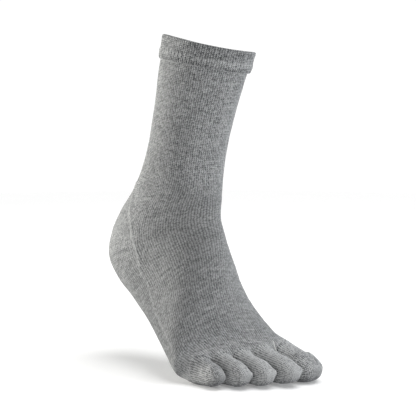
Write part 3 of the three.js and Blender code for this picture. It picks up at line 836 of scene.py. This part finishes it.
class TOESOCK_OT_stocking(bpy.types.Operator):
    """Knits the leg, heel and foot as one tube with fine ribs, heel seams and an inner wall"""
    bl_idname = "toesock.stocking"
    bl_label = "Leg, heel and foot"

    def execute(self, context):
        sock = context.scene.toe_sock
        # the tube ends inside the cuff, at about a third of its height
        top = CUFF_FOOT + (LAST - CUFF_FOOT) * 0.35
        places, lengths = even_places(0.0, top, BODY_RINGS)
        points = np.array([even_ring(place, BODY_COLUMNS) for place in places])
        bare = points.copy()
        # only the rings near the toes have other skins to blend with
        edge = np.flatnonzero(points[:, :, 0].max(axis=1) > -12).max() + 1
        lead = np.full(points.shape[:2], 99.0)
        points[:edge], lead[:edge] = settle("body", points[:edge])
        direction = outward(points)

        heel = heel_zone(bare)
        relief = rib_shape(BODY_COLUMNS)[None, :] * sock.rib_height / MM * (1 - 0.55 * heel)
        relief = relief * (1 + ripple(bare, RIB_UNEVEN))
        relief += ripple(bare, LONG_WAVES) + ripple(bare, SHORT_WAVES)
        relief += drape(bare, direction) - ankle_folds(bare) * (1 + ripple(bare, FOLD_UNEVEN)) - SET_IN
        forefoot = step_up(bare[..., 0], *FOREFOOT_X) * step_down(bare[..., 2], *FOREFOOT_Z)
        # the heel's lower part is darker: painted shade under the raised heel
        tone = FOREFOOT_LIGHTER * forefoot - HEEL_PAINTED_SHADE * heel * step_down(bare[..., 2], *HEEL_Z)
        ridge = sock.seam_height / MM * step_down(bare[..., 0], -10, 0)
        wander = ripple(bare, SEAM_UNEVEN)
        for line, height, height_width, lighter, tone_width, unevenness in HEEL_SEAMS:
            away = side_distance(bare, line)
            strength = 1 + unevenness * wander
            relief += ridge * height * strength * hill(away, height_width)
            # the seams are drawn lighter, and the sunken suture darker: painted shade in its crease
            tone += lighter * strength * hill(away, tone_width)
        instep = step_down(bare[..., 2], *INSTEP_Z) * (1 - forefoot)
        outer_side = step_down(bare[..., 1], *OUTER_SIDE_Y)
        tone -= (INSTEP_DARKER + OUTER_SIDE_DARKER * outer_side) * instep * (1 - heel)

        sink = SINK * step_down(lead, -SINK_OVER, 0)
        around = np.gradient(points, axis=1)
        around /= np.maximum(np.linalg.norm(around, axis=2, keepdims=True), 1e-9)
        points = points + direction * (relief - sink)[..., None]
        points = points + around * ripple(bare, WALE_WANDER)[..., None]
        points[..., 2] = np.maximum(points[..., 2], FLOOR)
        outer, i, j = knit_grid("stocking", points, BODY_WALES, lengths, tone, 1.0 - INSTEP_CALMER * instep)
        mark(outer, "hidden", lead[i, j] < BURIED)
        mark(outer, "rim", i == BODY_RINGS - 1)

        inner_places, inner_lengths = even_places(0.0, top, INNER_RINGS)
        inner = np.array([even_ring(place, INNER_COLUMNS) for place in inner_places])
        inwards = -outward(inner)
        inner = inner + inwards * (sock.cloth / MM + SET_IN - drape(inner, -inwards))[..., None]
        inner[..., 2] = np.maximum(inner[..., 2], FLOOR + sock.cloth / MM)
        plain = np.zeros(inner.shape[:2])
        lining, i, j = knit_grid("stocking_inner", inner, BODY_WALES, inner_lengths, plain, 1.0)
        # behind X 0 no point is inside a toe
        over_toes = np.array([min(signed(SKINS[row[0]], Vector(p))[0] for row in TOE_ROWS) if p[0] > 0 else 9
                              for p in inner[i, j]])
        mark(lining, "hidden", over_toes < -1.0)
        mark(lining, "rim", i == INNER_RINGS - 1)
        for piece in (outer, lining):
            weld(piece)
        face_out(outer, True)
        face_out(lining, False)
        for piece in (outer, lining):
            drop_faces(piece, point_values(piece.data, "hidden") > 0.5)
        stocking = join([outer, lining])
        edge_loop(stocking, "rim")
        bpy.ops.mesh.bridge_edge_loops()
        # a scrap cut off between two toes isn't joined to the rest
        bpy.ops.mesh.select_linked()
        bpy.ops.mesh.select_all(action="INVERT")
        bpy.ops.mesh.delete(type="VERT")
        bpy.ops.object.mode_set(mode="OBJECT")
        for name in ("hidden", "rim"):
            stocking.data.attributes.remove(stocking.data.attributes[name])
        material = knit_material("melange_fine_rib_knit", sock, 0.47, 1.0)
        dress(stocking, "knit_leg", material, "leg", "heel", "foot")
        return {"FINISHED"}


def face_out(piece, outwards):
    """Turns a tube's faces to point away from its middle, or towards it."""
    only(piece)
    bpy.ops.object.mode_set(mode="EDIT")
    bpy.ops.mesh.select_all(action="SELECT")
    bpy.ops.mesh.normals_make_consistent(inside=False)
    bpy.ops.object.mode_set(mode="OBJECT")
    mesh = piece.data
    corners = np.array([v.co[:] for v in mesh.vertices])
    faces = mesh.polygons
    top = max(range(0, len(faces), 7), key=lambda k: faces[k].center.z)
    # the middle of the tube's uppermost 12 mm
    middle = corners[corners[:, 2] > corners[:, 2].max() - 0.012].mean(axis=0)
    out = (faces[top].center - Vector(middle)).dot(faces[top].normal) > 0
    if out != outwards:
        bpy.ops.object.mode_set(mode="EDIT")
        bpy.ops.mesh.select_all(action="SELECT")
        bpy.ops.mesh.flip_normals()
        bpy.ops.object.mode_set(mode="OBJECT")


class TOESOCK_OT_cuff(bpy.types.Operator):
    """Knits the doubled band at the top with its rolled lower edge"""
    bl_idname = "toesock.cuff"
    bl_label = "Cuff"

    def execute(self, context):
        sock = context.scene.toe_sock
        inner_face = [(up, CUFF_ROWS[-1][1]) for up in np.linspace(0.88, 0.0, 9)]
        outline = np.vstack([smooth_line(CUFF_ROWS, 3), inner_face])
        rings, tones = [], []
        for up, out in outline:
            place = CUFF_FOOT + (LAST - CUFF_FOOT) * up
            angles = even_columns(lambda a: body_ring(place, a), BODY_COLUMNS)
            stack = np.array([body_ring(place + d, angles) for d in (-0.01, 0, 0.01)])
            direction = outward(stack)[1]
            dip = (RIM_SAG - RIM_CALMER) * np.cos(2 * angles + math.pi / 2)
            dip += RIM_TILT * np.cos(angles - math.pi / 4) - RIM_LEAN * np.cos(angles + math.pi / 4)
            dip += RIM_DROP
            face = stack[1] + direction * (out * CUFF_PROUD) - (dip * up)[:, None] * UP_LEG
            outer = 1.0 if out > 0 else 0.4
            rib = rib_shape(BODY_COLUMNS) * sock.rib_height / MM * outer
            # a line of loops, two wales wide each, leans along the band
            loops = LOOPS_HEIGHT * hill(up - LOOPS_UP, 0.14) * outer
            wave = loops * np.sin(2 * math.pi * np.arange(BODY_COLUMNS + 1) / RIB_SAMPLES / 2 + up * 9)
            rings.append(face + direction * (rib + wave - SET_IN * outer)[:, None])
            tone = CUFF_TONE + LOOPS_TONE * hill(up - LOOPS_UP, 0.12) * outer
            # the rolled lower edge is darker: painted shade under the fold of the band
            tones.append(np.full(BODY_COLUMNS + 1, tone + ROLL_PAINTED_SHADE * hill(up - ROLL_UP, 0.09)))
        points = np.array(rings)
        points += outward(points) * ripple(points, CUFF_WAVES)[..., None]
        cuff, i, _ = knit_grid("cuff_band", points, BODY_WALES, ring_lengths(points), np.array(tones), 1.0)
        mark(cuff, "end", (i == 0) | (i == len(points) - 1))
        weld(cuff)
        edge_loop(cuff, "end")
        bpy.ops.mesh.bridge_edge_loops()
        bpy.ops.mesh.select_all(action="SELECT")
        bpy.ops.mesh.normals_make_consistent(inside=False)
        bpy.ops.object.mode_set(mode="OBJECT")
        cuff.data.attributes.remove(cuff.data.attributes["end"])
        dress(cuff, "knit_cuff", knit_material("melange_doubled_band_knit", sock, 0.46, 1.0), "cuff")
        return {"FINISHED"}


class TOESOCK_OT_toes(bpy.types.Operator):
    """Knits the five toes, each a tube with a sewn cap that grows out of the foot"""
    bl_idname = "toesock.toes"
    bl_label = "Toes"

    def execute(self, context):
        sock = context.scene.toe_sock
        material = knit_material("melange_toe_knit", sock, 0.49, 1.4)
        for row in TOE_ROWS:
            name = row[0]
            # an even number of wales, from the girth in the toe's middle
            girth = np.linalg.norm(np.diff(toe_grid(row, 60)[0][18], axis=0), axis=1).sum()
            wales = 2 * round(girth / WALE / 2)
            columns = wales * RIB_SAMPLES
            points, shares = toe_grid(row, columns)
            bare = points.copy()
            points, lead = settle(name, points)
            full, lighter, bold = TOE_KNIT[name][-3:]
            cap = step_up(shares, TOE_CAP - 0.02, TOE_CAP + 0.03)[:, None]
            # the ribs run out before the tip, where they would crowd together
            ribbed = 1 - step_up(shares, 0.90, 0.985)[:, None]
            relief = rib_shape(columns)[None, :] * sock.rib_height / MM * bold * (1.2 - 0.5 * cap) * ribbed
            relief = relief + ripple(bare, TOE_WAVES) - SET_IN
            line = hill((shares - TOE_CAP) * TOE_LENGTH, 0.9)[:, None]
            groove = hill((shares - TOE_CAP + 0.03) * TOE_LENGTH, 1.2)[:, None]
            relief = relief + sock.seam_height / MM * 0.6 * line + full * (cap - groove)
            relief = relief - SINK * step_down(lead, -SINK_OVER, 0)
            points = points + outward(points) * relief[..., None]
            points[..., 2] = np.maximum(points[..., 2], FLOOR + 0.05)
            tone = ROOT_TONE + (lighter - ROOT_TONE) * step_up(shares, 0.15, 0.5)[:, None]
            tone = tone + (CAP_TONE[0] + CAP_TONE[1] * full) * cap
            # the cap's line is lighter, and its groove darker: painted shade, deeper where the cap is fuller
            tone = tone + LINE_TONE * line + GROOVE_PAINTED_SHADE * full * groove
            # painted shade: darker where a toe meets its neighbour and underneath
            tone = tone + CREASE_PAINTED_SHADE * hill(lead - 0.3, 1.7) * step_up(shares, 0.25, 0.45)[:, None]
            for darker, low, high in UNDERSIDE_PAINTED_SHADE:
                tone = tone + darker * step_up(-outward(bare)[..., 2], low, high)
            grain = 0.75 + 0.6 * bold + (0.45 - 0.2 * bold) * cap
            grain = grain * (1 - 0.7 * step_up(shares, 0.97, 1.0)[:, None])
            toe, i, j = knit_grid(name + "_knit", points, wales, ring_lengths(points), tone, grain)
            # the first rings, inside the foot, are cut away, so that the tube is open there
            mark(toe, "hidden", (lead[i, j] < BURIED) | (i < 3))
            mark(toe, "tip", i == len(points) - 1)
            weld(toe)
            edge_loop(toe, "tip")
            bpy.ops.mesh.edge_face_add()
            bpy.ops.mesh.select_all(action="SELECT")
            bpy.ops.mesh.normals_make_consistent(inside=False)
            bpy.ops.object.mode_set(mode="OBJECT")
            drop_faces(toe, point_values(toe.data, "hidden") > 0.5)
            for flag in ("hidden", "tip"):
                toe.data.attributes.remove(toe.data.attributes[flag])
            solid = toe.modifiers.new("cloth", "SOLIDIFY")
            solid.thickness = sock.cloth
            solid.offset = -1
            only(toe)
            bpy.ops.object.modifier_apply(modifier="cloth")
            dress(toe, "knit_toes", material, name)
        return {"FINISHED"}


class TOESOCK_OT_yarn_end(bpy.types.Operator):
    """Leaves the short loose yarn end between the second toe and the big toe"""
    bl_idname = "toesock.yarn_end"
    bl_label = "Loose yarn end"

    def execute(self, context):
        bpy.ops.object.select_all(action="DESELECT")
        bpy.ops.curve.primitive_nurbs_path_add(location=(0, 0, 0))
        yarn = context.object
        yarn.name = "loose_yarn_end"
        line = yarn.data.splines[0]
        for point, place in zip(line.points, YARN_END):
            point.co = (*(Vector(place) * MM), 1)
        line.use_endpoint_u = True
        yarn.data.bevel_depth = YARN_THICK / 2 * MM
        yarn.data.bevel_resolution = 2
        yarn.data.use_fill_caps = True
        bpy.ops.object.convert(target="MESH")
        # light spun wool yarn: short pale and grey flecks where its strands twist
        material = bpy.data.materials.new("light_spun_yarn")
        material.use_nodes = True
        tree = material.node_tree
        shader = tree.nodes["Principled BSDF"]
        shader.inputs["Roughness"].default_value = 0.9
        shader.inputs["Specular IOR Level"].default_value = 0.2
        place = add(tree, "ShaderNodeTexCoord")
        twist = add(tree, "ShaderNodeTexNoise", {"Scale": 900.0, "Detail": 1.0},
                    {"Vector": place.outputs["Object"]})
        ramp = add(tree, "ShaderNodeValToRGB", None, {"Fac": twist.outputs["Fac"]})
        ramp.color_ramp.elements[0].color = (*linear("#a9aaaa"), 1)
        ramp.color_ramp.elements[1].color = (*linear("#f1f1ef"), 1)
        tree.links.new(ramp.outputs[0], shader.inputs["Base Color"])
        yarn.data.name = yarn.name
        dress(yarn, "knit_toes", material)
        return {"FINISHED"}


class TOESOCK_OT_studio(bpy.types.Operator):
    """Sets the pale floor, the soft lights and the camera"""
    bl_idname = "toesock.studio"
    bl_label = "Studio"

    def execute(self, context):
        sock = context.scene.toe_sock
        scene = context.scene
        bpy.ops.object.select_all(action="DESELECT")
        bpy.ops.mesh.primitive_plane_add(size=FLOOR_SIZE, location=(0, 0, 0))
        floor = context.object
        floor.name = "floor"
        for vertex in floor.data.vertices:
            vertex.co.z = FLOOR * MM
        # matte white painted floor: a barely uneven coat, and a weak glow that keeps it white to the horizon
        material = bpy.data.materials.new("painted_studio_floor")
        material.use_nodes = True
        shader = material.node_tree.nodes["Principled BSDF"]
        grain = add(material.node_tree, "ShaderNodeTexNoise", {"Scale": 300.0, "Detail": 1.0})
        place = add(material.node_tree, "ShaderNodeTexCoord")
        material.node_tree.links.new(place.outputs["Object"], grain.inputs["Vector"])
        bump = add(material.node_tree, "ShaderNodeBump", {"Strength": 0.02, "Distance": 0.0002},
                   {"Height": grain.outputs["Fac"]})
        material.node_tree.links.new(bump.outputs[0], shader.inputs["Normal"])
        shader.inputs["Base Color"].default_value = (*sock.floor_colour, 1)
        shader.inputs["Emission Color"].default_value = (1, 1, 1, 1)
        shader.inputs["Emission Strength"].default_value = FLOOR_GLOW
        shader.inputs["Roughness"].default_value = 0.9
        shader.inputs["Specular IOR Level"].default_value = 0.1
        floor.data.materials.append(material)

        world = bpy.data.worlds.new("studio_air")
        world.use_nodes = True
        air = world.node_tree
        soft = air.nodes["Background"]
        soft.inputs["Color"].default_value = (1, 1, 1, 1)
        soft.inputs["Strength"].default_value = AIR_LIGHT
        # the camera sees the air white, and the sock is lit by a dimmer one
        seen = add(air, "ShaderNodeBackground", {"Color": (1, 1, 1, 1), "Strength": AIR_SEEN})
        ray = add(air, "ShaderNodeLightPath")
        both = add(air, "ShaderNodeMixShader", None,
                   {0: ray.outputs["Is Camera Ray"], 1: soft.outputs[0], 2: seen.outputs[0]})
        air.links.new(both.outputs[0], air.nodes["World Output"].inputs["Surface"])
        scene.world = world
        sky = bpy.data.lights.new("overhead_cloth", "SUN")
        sky.energy, sky.angle = SUN_POWER, SUN_SPREAD
        holder = bpy.data.objects.new("overhead_cloth", sky)
        scene.collection.objects.link(holder)
        holder.rotation_euler = Vector(SUN_FROM).to_track_quat("Z", "Y").to_euler()
        for name, place, size, power, tint in PANELS:
            lamp = bpy.data.lights.new(name, "AREA")
            lamp.size, lamp.energy, lamp.color = size, power, tint
            holder = bpy.data.objects.new(name, lamp)
            scene.collection.objects.link(holder)
            holder.location = place
            holder.rotation_euler = (Vector(LIGHT_AIM) - Vector(place)).to_track_quat("-Z", "Y").to_euler()

        view = bpy.data.cameras.new("camera")
        view.lens, view.sensor_width = LENS, SENSOR
        camera = bpy.data.objects.new("camera", view)
        scene.collection.objects.link(camera)
        camera.location = Vector(CAMERA_PLACE) * MM
        heading = Vector(CAMERA_AIM) * MM - camera.location
        camera.rotation_euler = heading.to_track_quat("-Z", "Y").to_euler()
        view.clip_start, view.clip_end = 0.05, 50
        scene.camera = camera
        scene.view_settings.view_transform = "Standard"
        return {"FINISHED"}


class TOESOCK_PT_panel(bpy.types.Panel):
    """Lists the sock's pieces and their sizes"""
    bl_idname = "TOESOCK_PT_panel"
    bl_label = "Toe sock"
    bl_space_type = "VIEW_3D"
    bl_region_type = "UI"
    bl_category = "Toe sock"

    def draw(self, context):
        sock = context.scene.toe_sock
        for name in ("rib_height", "seam_height", "cloth", "yarn_dark", "yarn_light", "floor_colour"):
            self.layout.prop(sock, name)
        for step in STEPS:
            self.layout.operator(step.bl_idname)


STEPS = (TOESOCK_OT_stocking, TOESOCK_OT_cuff, TOESOCK_OT_toes, TOESOCK_OT_yarn_end, TOESOCK_OT_studio)
CLASSES = (ToeSockSettings, *STEPS, TOESOCK_PT_panel)


def register():
    for kind in CLASSES:
        bpy.utils.register_class(kind)
    bpy.types.Scene.toe_sock = bpy.props.PointerProperty(type=ToeSockSettings)


def unregister():
    del bpy.types.Scene.toe_sock
    for kind in reversed(CLASSES):
        bpy.utils.unregister_class(kind)


def main():
    register()
    bpy.ops.toesock.stocking()
    bpy.ops.toesock.cuff()
    bpy.ops.toesock.toes()
    bpy.ops.toesock.yarn_end()
    bpy.ops.toesock.studio()


if __name__ == "__main__":
    main()
